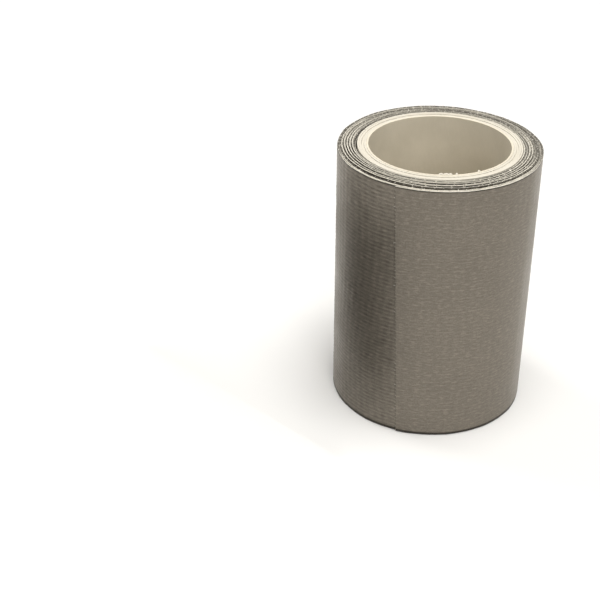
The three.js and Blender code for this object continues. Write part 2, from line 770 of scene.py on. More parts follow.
@dataclass(frozen=True)
class FeltFinish:
    """The black felt of the shading card.

    Attributes:
        name: The material's name.
        color: The felt between its fibres.
        pale: The fibres.
        roughness: How matt it is.
    """

    name: str = "black_felt"
    color: Color = (0.012, 0.012, 0.011)
    pale: Color = (0.03, 0.03, 0.028)
    roughness: float = 0.95

    def make(self) -> bpy.types.Material:
        """Builds the material.

        Returns:
            The material.
        """
        recipe = Recipe(self.name)
        fibres = recipe.noise(recipe.place(), 900.0, 3.0)
        recipe.set(Base_Color=recipe.blend(fibres, self.color, self.pale), Roughness=self.roughness)
        return recipe.material


# ---------------------------------------------------------------------------------------------
# The web and how it is wound
# ---------------------------------------------------------------------------------------------


@dataclass(frozen=True)
class Winding:
    """The spiral that the web's inner face follows, from the core out to the cut end.

    The azimuth falls as the radius grows, so the cut end has the lowest azimuth of all.

    Attributes:
        core_radius: Outside of the core.
        width: Width of the tape.
        pitch: Step from one turn to the next.
        thickness: Thickness of the web.
        gap: Gap between the core and the first turn.
        length: Length of the tape.
        cut_azimuth: Where the cut end lies.
        cut_slant: How much further back round the roll the cut end lies at the foot than at the top.
        tail_length: Length of the free tail.
    """

    core_radius: float
    width: float
    pitch: float = 0.24 * MM
    thickness: float = 0.23 * MM
    gap: float = 0.01 * MM
    length: float = 1524.0 * MM
    cut_azimuth: float = math.radians(248.0)
    cut_slant: float = math.radians(7.0)
    tail_length: float = 24.0 * MM

    @property
    def inner_radius(self) -> float:
        """Radius of the web's inner face at its start on the core."""
        return self.core_radius + self.gap

    @property
    def middle_radius(self) -> float:
        """Radius of the middle of the web at its start on the core."""
        return self.inner_radius + self.thickness / 2

    @property
    def turns(self) -> float:
        """How many turns the whole tape makes."""
        return float(self.turns_at(self.length))

    @property
    def start_azimuth(self) -> float:
        """Where the web starts on the core, counted up from the cut end."""
        return self.cut_azimuth + self.turns * TAU

    @property
    def outer_radius(self) -> float:
        """Outside of the web at the cut end."""
        return self.inner_radius + self.turns * self.pitch + self.thickness

    @property
    def root_azimuth(self) -> float:
        """Where the free tail begins: the peel line."""
        return self.cut_azimuth + self.tail_length / self.outer_radius

    def cut_at(self, height: Array) -> Array:
        """Azimuth of the slanting cut end at a height over the floor."""
        return self.cut_azimuth + self.cut_slant * (1.0 - height / self.width)

    def turns_at(self, along: Array | float) -> Array | float:
        """Turns wound from the core up to a place along the tape."""
        reach = np.sqrt(self.middle_radius**2 + self.pitch * along / math.pi)
        return (reach - self.middle_radius) / self.pitch

    def turns_below(self, azimuth: Array) -> Array:
        """Turns wound from the core up to an azimuth."""
        return (self.start_azimuth - azimuth) / TAU

    def along(self, azimuth: Array) -> Array:
        """Length of tape from the core up to an azimuth."""
        turns = self.turns_below(azimuth)
        return TAU * (self.middle_radius * turns + self.pitch * turns**2 / 2)

    def azimuth_at(self, along: Array) -> Array:
        """The azimuth of a place along the tape."""
        return self.start_azimuth - TAU * self.turns_at(along)

    def radius(self, azimuth: Array) -> Array:
        """Radius of the web's inner face."""
        return self.inner_radius + self.pitch * self.turns_below(azimuth)


def wrapped(angle: Array) -> Array:
    """An angle brought to within half a turn of zero."""
    return np.mod(angle + math.pi, TAU) - math.pi


def around(azimuth: Array, centre: float, spread: float) -> Array:
    """Gives 1 at one azimuth, and fades to 0 on both sides of it like a bell."""
    return np.exp(-((wrapped(azimuth - centre) / spread) ** 2))


def towards_front(azimuth: Array) -> Array:
    """Gives 1 at the very front of the roll, and 0 from its sides backwards."""
    return np.clip(-np.sin(azimuth), 0.0, 1.0)


@dataclass(frozen=True)
class Handling:
    """What winding and handling did to the roll: flats, creases and uneven edges.

    Attributes:
        corners: Azimuths of the blunt axial corners of the outside, in degrees.
        flatness: How far the flats between them fall inside the round.
        usual_flat: Angle of the flat that falls just that far inside; longer ones fall further.
        drop: How far the turns' upper edges lie under the core's end, on average.
        swing: How far neighbouring turns' edges stand proud of each other.
        outer_drop: How much lower the last turns' upper edges lie.
        slow_wave: Height of the long waves in the upper edges.
        quick_wave: Height of the short waves in them.
        foot: How far the turns' lower edges stay off the floor, on average.
        swing_turns: Turns from one proud turn to the next.
        crease_depth: Depth of the narrow axial creases.
        left_azimuth: The side on which the inner turns stand most unevenly.
        left_spread: How far round that side reaches.
        back_azimuth: The side on which the last turns stand as high as the others.
        back_spread: How far round that side reaches.
        pocket: Depth of the pocket between the core and the first turn.
        pocket_azimuth: Where that pocket is deepest.
        pocket_reach: How far round it reaches to each side.
        pocket_turns: How many of the first turns it takes in.
        rim_turns: How many of the last turns have layers that were cut flush.
        rim_extra: How many more of them there are at the front.
        trough_turns: How many of the last turns the trough inside the rim takes in, where edges get painted
            shade.
        end_lift: How far the stiff cut end springs off the roll.
        end_reach: Length of tape that springs off with it.
        slack: Share of the weave's relief that is left where the outermost turn lies slack.
    """

    corners: tuple[float, ...] = (
        8.0, 34.0, 52.0, 83.0, 104.0, 131.0, 163.0, 188.0, 211.0, 234.0, 261.0, 286.0, 309.0, 333.0,
    )
    flatness: float = 0.06 * MM
    usual_flat: float = 0.45
    drop: float = 0.17 * MM
    swing: float = 0.17 * MM
    outer_drop: float = 0.16 * MM
    slow_wave: float = 0.03 * MM
    quick_wave: float = 0.012 * MM
    foot: float = 0.10 * MM
    swing_turns: float = 2.05
    crease_depth: float = 0.022 * MM
    left_azimuth: float = math.radians(203.0)
    left_spread: float = 0.75
    back_azimuth: float = math.radians(118.0)
    back_spread: float = 0.8
    pocket: float = 0.50 * MM
    pocket_azimuth: float = math.radians(164.0)
    pocket_reach: float = 0.85
    pocket_turns: float = 1.3
    rim_turns: float = 2.3
    rim_extra: float = 0.6
    trough_turns: float = 3.8
    end_lift: float = 0.13 * MM
    end_reach: float = 3.2 * MM
    slack: float = 0.26

    def sag(self, azimuth: Array) -> Array:
        """How far the outside lies inside the round.

        Args:
            azimuth: Where.

        Returns:
            The distance at each azimuth, which is nothing at a corner.
        """
        angle = np.mod(azimuth, TAU)
        corners = np.radians(np.array(self.corners))
        ring = np.concatenate([corners[-1:] - TAU, corners, corners[:1] + TAU])
        after = np.clip(np.searchsorted(ring, angle), 1, len(ring) - 1)
        low, high = ring[after - 1], ring[after]
        share = (angle - low) / (high - low)
        return self.flatness * (1.0 - (2.0 * share - 1.0) ** 2) * ((high - low) / self.usual_flat) ** 2

    def crease(self, azimuth: Array, height: Array) -> Array:
        """How deep the narrow axial creases are that came from squeezing the roll."""
        fine = Unevenness(16, 0.21, 90 * MM).at(azimuth, height)
        return self.crease_depth * np.abs(fine)

    def spring(self, reach: Array) -> Array:
        """How far the tape springs off the roll at a distance from its cut end."""
        return self.end_lift * np.clip(1.0 - reach / self.end_reach, 0.0, 1.0) ** 2

    def pressed(self, turns_from_end: Array) -> Array:
        """How strongly the weave stands out: least in the slack last half turn, then more and more."""
        share = np.clip(2.0 * turns_from_end - 1.0, 0.0, 1.0)
        return self.slack + (1.0 - self.slack) * share**0.7

    def pocket_at(self, azimuth: Array, turns: Array) -> Array:
        """How much of the pocket's depth there is at a place, from 0 to 1."""
        aside = wrapped(azimuth - self.pocket_azimuth) / self.pocket_reach
        return np.exp(-(aside**4) - (turns / self.pocket_turns) ** 4)

    def swing_at(self, azimuth: Array, turns: Array, total: float) -> Array:
        """How proud a turn stands among its neighbours.

        Args:
            azimuth: Where round the roll.
            turns: Which turn, counted from the core.
            total: How many turns there are.

        Returns:
            Values from about -1 to 1.
        """
        slow = Unevenness(11, 2.4).at(azimuth)
        left_side = around(azimuth, self.left_azimuth, self.left_spread)
        inner_half = np.clip(2.4 - 3.2 * turns / total, 0.0, 1.0)
        wide = np.sin(TAU * turns / self.swing_turns + 0.4 * slow)
        own = Unevenness(13, 3.1, 1.7).at(azimuth, turns)
        return wide * (0.75 + 1.1 * left_side * inner_half) + 0.42 * own * (1.0 - 0.8 * left_side)

    def top_lift(self, azimuth: Array, turns: Array, total: float) -> Array:
        """How far a turn's upper edge lies over the core's end, which is mostly under it.

        Args:
            azimuth: Where round the roll.
            turns: Which turn, counted from the core.
            total: How many turns there are.

        Returns:
            The lift, which is mostly below zero.
        """
        rim = self.rim(azimuth, turns, total)
        back_side = around(azimuth, self.back_azimuth, self.back_spread)
        slow = self.slow_wave * Unevenness(15, 2.4).at(azimuth)
        wave = slow + self.quick_wave * Unevenness(12, 0.35).at(azimuth)
        lift = self.swing * self.swing_at(azimuth, turns, total) * (1.0 - rim) + wave
        outer_drop = self.outer_drop * rim * (1.0 - 1.1 * back_side + 0.7 * towards_front(azimuth))
        return lift - self.drop - outer_drop - self.pocket * self.pocket_at(azimuth, turns)

    def rim(self, azimuth: Array, turns: Array, total: float) -> Array:
        """Gives 1 in the last turns, whose layers were cut flush, and 0 in the others."""
        extra = self.rim_extra * towards_front(azimuth)
        return np.clip((turns - total + self.rim_turns + extra) / 0.1, 0.0, 1.0)

    def proud(self, azimuth: Array, turns: Array, total: float) -> Array:
        """How pale a turn's edges are, partly from whitening and fibres and partly painted light and shade:
        proud edges and the rim towards the front get painted light, and edges at the back, in the pocket and
        in the trough inside the rim get painted shade.

        Args:
            azimuth: Where round the roll.
            turns: Which turn, counted from the core.
            total: How many turns there are.

        Returns:
            Values from 0 to 1.
        """
        # Painted light: edges towards the front are paler than those at the back.
        facing = 0.72 - 0.28 * np.sin(azimuth)
        inner = (0.15 + 1.9 * self.swing_at(azimuth, turns, total)) * facing
        # Painted shade on the edges in the pocket beside the core.
        inner = inner * (1.0 - self.pocket_at(azimuth, turns))
        rim = self.rim(azimuth, turns, total)
        # Painted shade in the trough inside the rim at the front, and painted light on the rim at the front.
        trough = np.clip((turns - total + self.trough_turns) / 0.2, 0.0, 1.0) * (1.0 - rim)
        front = np.clip(-1.6 * np.sin(azimuth) - 0.05, 0.0, 1.0)
        return np.clip(inner * (1.0 - rim) * (1.0 - 0.7 * trough * front) + rim * front, 0.0, 1.0)

    def foot_lift(self, azimuth: Array, turns: Array) -> Array:
        """How far a turn's lower edge stays off the floor.

        Args:
            azimuth: Where round the roll.
            turns: Which turn, counted from the core.

        Returns:
            The lift.
        """
        slow = Unevenness(14, 2.4).at(azimuth)
        swing = np.sin(TAU * turns / self.swing_turns)
        return self.foot * np.clip(1.0 + 0.6 * swing + 0.3 * slow, 0.1, 2.0)


@dataclass(frozen=True)
class Weave:
    """The scrim's weave, as it shows through the film.

    Attributes:
        warp_pitch: Distance between the yarns that run along the tape.
        weft_pitch: Distance between the yarns that run across it.
        rib: Height of the ribs over the warp yarns.
        bar: Height of the ridges over the weft yarns.
        knot: Height of the knobs where two yarns cross.
        wander: How far a rib wanders from its line.
    """

    warp_pitch: float = 0.77 * MM
    weft_pitch: float = 1.55 * MM
    rib: float = 0.060 * MM
    bar: float = 0.020 * MM
    knot: float = 0.035 * MM
    wander: float = 0.10 * MM

    def phases(self, along: Array, across: Array) -> tuple[Array, Array]:
        """How many warp and how many weft yarns lie before a place, with their unevenness.

        Args:
            along: Place along the tape.
            across: Place across it.

        Returns:
            Both counts, whose whole numbers are the weave's cells.
        """
        warp = across / self.warp_pitch
        bow = 0.35 * Unevenness(25, 60 * MM, 60 * MM).at(along, across)
        weft = along / self.weft_pitch + bow + 0.10 * Unevenness(21, 7 * MM, 5 * MM).at(along, across)
        return warp, weft

    def relief(self, along: Array, across: Array) -> Array:
        """Height of the pressed film over its lowest places.

        Args:
            along: Place along the tape.
            across: Place across it.

        Returns:
            The height.
        """
        warp, weft = self.phases(along, across)
        ridge = (0.5 - 0.5 * np.cos(TAU * warp)) ** 0.8
        bar = (0.5 + 0.5 * np.cos(TAU * weft)) ** 1.5
        patchy = 0.72 + 0.28 * Unevenness(22, 13 * MM, 9 * MM).at(along, across)
        knots = self.cell_heights(24, np.floor(warp), np.round(weft))
        return self.rib * ridge * patchy + self.bar * bar + self.knot * knots * ridge * bar

    def sunk(self, along: Array, across: Array) -> Array:
        """How deep in the openings between the yarns a place lies.

        Args:
            along: Place along the tape.
            across: Place across it.

        Returns:
            Values from 0 to 1.
        """
        warp, weft = self.phases(along, across)
        between = (0.5 + 0.5 * np.cos(TAU * warp)) ** 1.4
        opening = 0.30 + 0.70 * (0.5 - 0.5 * np.cos(TAU * weft))
        cells = 0.45 + 0.75 * self.cell_heights(26, np.round(warp), np.floor(weft))
        patchy = 0.80 + 0.30 * Unevenness(27, 8 * MM, 6 * MM).at(along, across)
        return np.clip(between * opening * cells * patchy, 0.0, 1.0)

    def raised(self, along: Array, across: Array) -> Array:
        """How strongly a place gets a painted glint on a knob over crossing yarns.

        Args:
            along: Place along the tape.
            across: Place across it.

        Returns:
            Values from 0 to 1.
        """
        warp, weft = self.phases(along, across)
        ridge = (0.5 - 0.5 * np.cos(TAU * warp)) ** 2
        bar = (0.5 + 0.5 * np.cos(TAU * weft)) ** 2
        knots = self.cell_heights(24, np.floor(warp), np.round(weft))
        return np.clip(ridge * (0.18 + bar * knots), 0.0, 1.0)

    @staticmethod
    def cell_heights(seed: int, warp: Array, weft: Array) -> Array:
        """Draws a number for each cell of the weave, smaller in every other cell.

        Args:
            seed: Picks one set of numbers.
            warp: The cell's number across the tape.
            weft: Its number along the tape.

        Returns:
            Values from 0 to 1.
        """
        side = 257
        table = np.random.default_rng(seed).uniform(0.0, 1.0, (side, side)) ** 1.3
        first, second = warp.astype(int), weft.astype(int)
        alternate = np.where((first + second) % 2 == 0, 1.0, 0.6)
        return table[first % side, second % side] * alternate

    def drift(self, along: Array, across: Array, width: float) -> Array:
        """How far a rib is shifted across the tape, which fades out at both edges."""
        fade = np.clip(np.minimum(across, width - across) / (2 * MM), 0.0, 1.0)
        return self.wander * fade * Unevenness(23, 31 * MM, 17 * MM).at(along, across)


@dataclass(frozen=True)
class Layer:
    """One layer of the web.

    Attributes:
        lift: Height of its outer face over the web's inner face.
        thickness: Its thickness.
        recess: How far its edges stay back from the film's edges.
        ragged: How uneven its edges are.
    """

    lift: float
    thickness: float
    recess: float
    ragged: float


FILM = Layer(lift=0.225 * MM, thickness=0.065 * MM, recess=0.0, ragged=0.012 * MM)
SCRIM = Layer(lift=0.155 * MM, thickness=0.06 * MM, recess=0.01 * MM, ragged=0.03 * MM)
ADHESIVE = Layer(lift=0.09 * MM, thickness=0.08 * MM, recess=0.06 * MM, ragged=0.05 * MM)

# Where the rows of vertices of a hidden turn lie across the tape, as shares of its width.
PLAIN_ROWS = (0.0, 0.003, 0.012, 0.05, 0.95, 0.988, 0.997, 1.0)
# How many rows of vertices a woven sheet has for each warp yarn.
ROWS_PER_YARN = 4


@dataclass(frozen=True)
class TapeWeb:
    """Makes stretches of the web's layers where they lie on the roll.

    Attributes:
        winding: The spiral.
        handling: What happened to it.
        weave: The weave that shows through the film.
        edge_reach: How far in from an edge its unevenness reaches.
    """

    winding: Winding
    handling: Handling = field(default_factory=Handling)
    weave: Weave = field(default_factory=Weave)
    edge_reach: float = 0.8 * MM

    def place(self, azimuth: Array, height: Array, lift: Array | float) -> Array:
        """Points of the web.

        Args:
            azimuth: Azimuth of each point.
            height: Height of each point over the floor.
            lift: Height over the web's inner face.

        Returns:
            The points.
        """
        share = self.winding.turns_below(azimuth) / self.winding.turns
        dent = self.handling.sag(azimuth) + self.handling.crease(azimuth, height)
        from_cut = (azimuth - self.winding.cut_at(height)) * self.winding.outer_radius
        lift = lift + self.handling.spring(from_cut)
        radius = self.winding.radius(azimuth) + lift - dent * share**2
        return np.stack([radius * np.cos(azimuth), radius * np.sin(azimuth), height], axis=1)

    def height(self, azimuth: Array, across: Array, layer: Layer) -> Array:
        """Height over the floor of a place in a layer, with the layer's uneven edges.

        Args:
            azimuth: Where round the roll.
            across: Place across the tape.
            layer: Which layer.

        Returns:
            The height.
        """
        width = self.winding.width
        turns = self.winding.turns_below(azimuth)
        top = self.handling.top_lift(azimuth, turns, self.winding.turns)
        lift = np.where(across > width / 2, top, self.handling.foot_lift(azimuth, turns))
        near_edge = np.clip(1.0 - np.minimum(across, width - across) / self.edge_reach, 0.0, 1.0)
        inwards = np.where(across > width / 2, -1.0, 1.0)
        fray = Unevenness(31 + int(layer.recess / MM * 100), 0.9 * MM)
        ragged = layer.ragged * fray.at(self.winding.along(azimuth), across)
        flush = self.handling.rim(azimuth, turns, self.winding.turns)
        back = layer.recess * (1.0 - flush) + np.abs(ragged)
        return across + lift * near_edge + inwards * near_edge * back

    def stretch(
        self,
        name: str,
        layer: Layer,
        low: float,
        high: float,
        step: float,
        emboss: float,
        slant: float = 0.0,
    ) -> bpy.types.Object:
        """Makes one layer over a stretch of the winding.

        Args:
            name: The piece's name.
            layer: Which layer.
            low: The stretch's lowest azimuth, its outer end.
            high: Its highest azimuth, its inner end.
            step: Distance between columns of vertices.
            emboss: How strongly the weave stands out of its surface. Nothing gives a plain sheet.
            slant: How much further back the outer end lies at the foot than at the top.

        Returns:
            The layer as a closed sheet of its real thickness.
        """
        winding = self.winding
        columns = max(2, round((winding.along(low) - winding.along(high)) / step))
        woven = emboss != 0.0
        rows = ROWS_PER_YARN * round(winding.width / self.weave.warp_pitch) if woven else len(PLAIN_ROWS) - 1
        sheet = flat_sheet(name, columns, rows)
        share, level = shares_of(sheet)
        end = low + slant * (1.0 - level)
        azimuth = end + (high - end) * share
        along = winding.along(azimuth)
        if woven:
            across = level * winding.width
        else:
            across = np.interp(level * rows, np.arange(rows + 1), PLAIN_ROWS) * winding.width
        add_measure_map(sheet, along, across)
        turns = winding.turns_below(azimuth)
        # How pale each upper slit edge is, with painted light and shade in it; the lower edges all get the
        # darkest end, painted shade along the foot.
        proud = self.handling.proud(azimuth, turns, winding.turns)
        add_share(sheet, PALE_EDGE_AND_SHADE, proud * np.where(level > 0.5, 1.0, 0.0))
        lift = np.full(len(along), layer.lift)
        height = self.height(azimuth, across, layer)
        if woven:
            pressed = self.handling.pressed(winding.turns - turns)
            # Painted shade in the weave's openings and painted glints on its knobs, both weaker where the
            # turn lies slack.
            add_share(sheet, SUNK_SHADE, pressed * self.weave.sunk(along, across))
            add_share(sheet, PAINTED_GLINT, pressed * self.weave.raised(along, across))
            lift = lift + emboss * pressed * self.weave.relief(along, across)
            height = height + self.weave.drift(along, across, winding.width)
        move_points(sheet, self.place(azimuth, height, lift))
        apply_modifier(sheet, "SOLIDIFY", thickness=layer.thickness, offset=-1.0)
        return sheet


# ---------------------------------------------------------------------------------------------
# Sub-assemblies
# ---------------------------------------------------------------------------------------------


def settle(
    piece: bpy.types.Object, material: bpy.types.Material, nodes: tuple[str, ...] = ()
) -> bpy.types.Object:
    """Dresses a piece and hides the CAD nodes that it stands for.

    Args:
        piece: The piece.
        material: Its material.
        nodes: The CAD nodes that it stands for.

    Returns:
        The piece.
    """
    piece.data.materials.clear()
    piece.data.materials.append(material)
    if nodes:
        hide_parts(*nodes)
    return piece


@dataclass
class PaperCore:
    """The core: five plies of paper, each a strip with a seam that climbs round the bore.

    Attributes:
        nodes: The plies' CAD nodes, from the bore outwards.
        thicknesses: Their thicknesses.
        end_drops: How far each ply's cut ends stay back.
        fuzz: How uneven those ends are.
        seam_lead: Height that a ply's seam climbs in one turn.
        seam_gap: Gap between a strip's edges at the seam.
        seam_step: Share of a turn from one ply's seam to the next ply's.
        bob: How far a ply's face wanders in and out.
        edge_reach: How far in from an end its unevenness reaches.
        bevel: Rounding of the cut ends.
        columns: Faces round a ply.
        rows: Faces up a ply.
        burr_azimuths: Where the burrs on the bore's upper rim are, in degrees.
        burr_widths: How wide each of them is.
        burr_rise: How far they stand up.
        burr_lean: How far they lean into the bore.
        burr_inset: How far outside the bore's face they are rooted.
        burr_root: How far under the rim they are rooted.
        burr_droop: How far their tips bend down again.
        burr_thickness: Thickness of the torn paper.
        liner: Finish of the ply that faces the bore.
        board: Finish of the other plies and of the burrs.
    """

    nodes: tuple[str, ...] = (
        "core_inner_liner",
        "core_board_ply_1",
        "core_board_ply_2",
        "core_board_ply_3",
        "core_outer_wrap",
    )
    thicknesses: tuple[float, ...] = (0.38 * MM, 0.40 * MM, 0.40 * MM, 0.40 * MM, 0.34 * MM)
    end_drops: tuple[float, ...] = (0.0, 0.05 * MM, 0.17 * MM, 0.04 * MM, 0.0)
    fuzz: float = 0.018 * MM
    seam_lead: float = 74.0 * MM
    seam_gap: float = 0.12 * MM
    seam_step: float = 0.19
    bob: float = 0.008 * MM
    edge_reach: float = 0.3 * MM
    bevel: float = 0.05 * MM
    columns: int = 220
    rows: int = 44
    burr_azimuths: tuple[float, ...] = (272.6, 276.4, 279.6, 284.5, 303.0)
    burr_widths: tuple[float, ...] = (1.1 * MM, 1.4 * MM, 0.8 * MM, 0.5 * MM, 0.6 * MM)
    burr_rise: float = 0.36 * MM
    burr_lean: float = 0.32 * MM
    burr_inset: float = 0.16 * MM
    burr_root: float = 0.06 * MM
    burr_droop: float = 0.10 * MM
    burr_thickness: float = 0.07 * MM
    liner: PaperFinish = PaperFinish("liner_paper", (0.76, 0.70, 0.58), (0.62, 0.57, 0.46), 0.15)
    board: PaperFinish = PaperFinish("core_board", (0.71, 0.675, 0.595), (0.58, 0.535, 0.445), 0.3)

    def build(self) -> list[bpy.types.Object]:
        """Makes the plies and the burrs of the cut paper.

        Returns:
            The pieces.
        """
        liner, board = self.liner.make(), self.board.make()
        made = []
        for number, node in enumerate(self.nodes):
            paper, slot = (board, Slot.BOARD) if number else (liner, Slot.LINER)
            made.append(settle(self.ply(node, number), paper, (node,)))
            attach(made[-1], Body.ROLL.value)
        made.append(settle(self.burrs(), board))
        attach(made[-1], Body.ROLL.value)
        return made

    def burrs(self) -> bpy.types.Object:
        """Makes the curls of torn paper that the slitting knife left on the bore's upper rim.

        Returns:
            All the curls as one piece.
        """
        curls = [self.curl(*burr) for burr in zip(self.burr_azimuths, self.burr_widths)]
        clear_selection()
        for curl in curls:
            curl.select_set(True)
        bpy.context.view_layer.objects.active = curls[0]
        bpy.ops.object.join()
        piece = named_active("core_rim_burrs")
        smooth(piece, 60.0)
        return piece

    def curl(self, azimuth: float, wide: float) -> bpy.types.Object:
        """Makes one curl of torn paper.

        Args:
            azimuth: Where its middle is, in degrees.
            wide: How wide it is.

        Returns:
            The curl.
        """
        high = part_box(self.nodes[0])[1]
        bore = high.x - self.thicknesses[0]
        sheet = flat_sheet("burr", 12, 6)
        share, level = shares_of(sheet)
        turn = math.radians(azimuth) + (share - 0.5) * wide / bore
        bulge = np.sin(math.pi * share) ** 0.6
        radius = bore + self.burr_inset - self.burr_lean * level**2 * bulge
        z = high.z - self.burr_root + self.burr_rise * level * bulge - self.burr_droop * level**3
        move_points(sheet, np.stack([radius * np.cos(turn), radius * np.sin(turn), z], axis=1))
        apply_modifier(sheet, "SOLIDIFY", thickness=self.burr_thickness, offset=0.0)
        return sheet

    def ply(self, node: str, number: int) -> bpy.types.Object:
        """Makes one ply where its CAD node is.

        Args:
            node: The CAD node.
            number: Which ply, counted from the bore.

        Returns:
            The ply.
        """
        low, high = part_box(node)
        outer = high.x
        height = high.z - low.z
        sheet = flat_sheet(node + "_paper", self.columns, self.rows)
        share, level = shares_of(sheet)
        across = self.spread(level) * height
        gap = self.seam_gap / outer
        azimuth = gap / 2 + share * (TAU - gap) + TAU * (across / self.seam_lead + self.seam_step * number)
        add_measure_map(sheet, share * TAU * outer, across)
        fuzz = Unevenness(40 + number, 0.5 * MM).at(azimuth * outer, across)
        near_edge = np.clip(1.0 - np.minimum(across, height - across) / self.edge_reach, 0.0, 1.0)
        bob = Unevenness(50 + number, 9 * MM, 20 * MM).at(azimuth * outer, across)
        radius = outer + self.bob * bob
        inwards = np.where(across > height / 2, -1.0, 1.0)
        drop = self.end_drops[number] + self.fuzz * np.abs(fuzz)
        z = low.z + across + inwards * near_edge * drop
        move_points(sheet, np.stack([radius * np.cos(azimuth), radius * np.sin(azimuth), z], axis=1))
        apply_modifier(sheet, "SOLIDIFY", thickness=self.thicknesses[number], offset=-1.0)
        apply_modifier(sheet, "BEVEL", width=self.bevel, segments=2, angle_limit=math.radians(50))
        smooth(sheet, 50.0)
        return sheet

    @staticmethod
    def spread(level: Array) -> Array:
        """Crowds the rows of vertices towards both ends of the core."""
        return 0.5 - 0.5 * np.cos(math.pi * level)


@dataclass
class OuterWrap:
    """The outermost turn: the free tail, the turn it belongs to and what lies under the tail.

    Attributes:
        web: The web that it is a stretch of.
        film: The film's material.
        adhesive: The adhesive's material.
        yarn: The scrim's material.
        column_step: Distance between columns of vertices in the woven film.
        tail_span: How far round the piece of film with the tail in it reaches.
        under_span: How far round the turn under the tail is a piece of its own.
        blend_reach: Not used; meant as the length over which the tape curls up behind the peel line.
        yarn_radius: Radius of a frayed yarn end.
        yarn_reach: How far the shortest one sticks out and how much more the longest, in millimetres.
    """

    web: TapeWeb
    film: bpy.types.Material
    adhesive: bpy.types.Material
    yarn: bpy.types.Material
    column_step: float = 0.39 * MM
    tail_span: float = math.radians(180.0)
    under_span: float = math.radians(92.0)
    blend_reach: float = 5.0 * MM
    yarn_radius: float = 0.06 * MM
    yarn_reach: tuple[float, float] = (0.16, 0.30)

    def build(self) -> list[bpy.types.Object]:
        """Makes the film, the scrim and the adhesive of the outermost turn.

        Returns:
            The pieces.
        """
        cut, slant = self.web.winding.cut_azimuth, self.web.winding.cut_slant
        joint = cut + self.tail_span
        bare = cut + self.under_span
        under = cut + TAU
        made = []
        for name, layer, high, emboss, material, slot, node in (
            ("outer_turn_film", FILM, joint, 1.0, self.film, Slot.FILM, "tail_backing_film"),
            ("outer_turn_scrim", SCRIM, bare, 0.5, self.yarn, Slot.SCRIM, "tail_scrim_cloth"),
            ("outer_turn_adhesive", ADHESIVE, bare, -0.35, self.adhesive, Slot.ADHESIVE, "tail_adhesive"),
        ):
            piece = self.web.stretch(name, layer, cut, high, self.column_step, emboss, slant)
            smooth(settle(piece, material, (node,)))
            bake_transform(piece)
            made.append(piece)
        made.append(settle(self.frayed_ends(), self.yarn))
        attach(made[-1], Body.TAIL.value)
        for name, low, high, emboss in (
            ("rear_turn_film", joint, under, 1.0),
            ("under_tail_film", under, under + self.under_span, 0.4),
        ):
            piece = self.web.stretch(name, FILM, low, high, self.column_step, emboss)
            smooth(settle(piece, self.film))
            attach(piece, Body.ROLL.value)
            made.append(piece)
        return made

    def frayed_ends(self) -> bpy.types.Object:
        """Makes the warp yarns' ends, which stick out from under the film at the cut.

        Returns:
            All the yarn ends as one piece.
        """
        web = self.web
        draw = np.random.default_rng(71)
        count = round(web.winding.width / web.weave.warp_pitch)
        across = (np.arange(count) + 0.5 + draw.uniform(-0.12, 0.12, count)) * web.weave.warp_pitch
        azimuth = web.winding.cut_at(across)
        root = web.place(azimuth, web.height(azimuth, across, SCRIM), SCRIM.lift)
        outwards = np.stack([np.cos(azimuth), np.sin(azimuth), 0 * azimuth], axis=1)
        onwards = np.stack([np.sin(azimuth), -np.cos(azimuth), 0 * azimuth], axis=1)
        upwards = np.tile((0.0, 0.0, 1.0), (count, 1))
        stray = draw.normal(0.0, 0.3, (count, 1))
        least, more = self.yarn_reach
        reach = (least + more * draw.random((count, 1)) ** 3) * MM
        axis = (onwards - 0.12 * outwards + stray * upwards) * reach
        radius = self.yarn_radius * draw.uniform(0.7, 1.3, (count, 1))
        bases = np.stack([upwards * radius, outwards * radius * 0.8, axis], axis=1)
        places = root - onwards * 0.1 * MM
        piece = merge_copies("warp_yarn_ends", InnerTurns.tuft_template(), places, bases)
        # A low share: the yarn ends are drawn mostly towards the dirty colour, which also serves as painted
        # shade.
        add_share(piece, PALE_EDGE_AND_SHADE, np.full(len(piece.data.vertices), 0.25))
        return piece


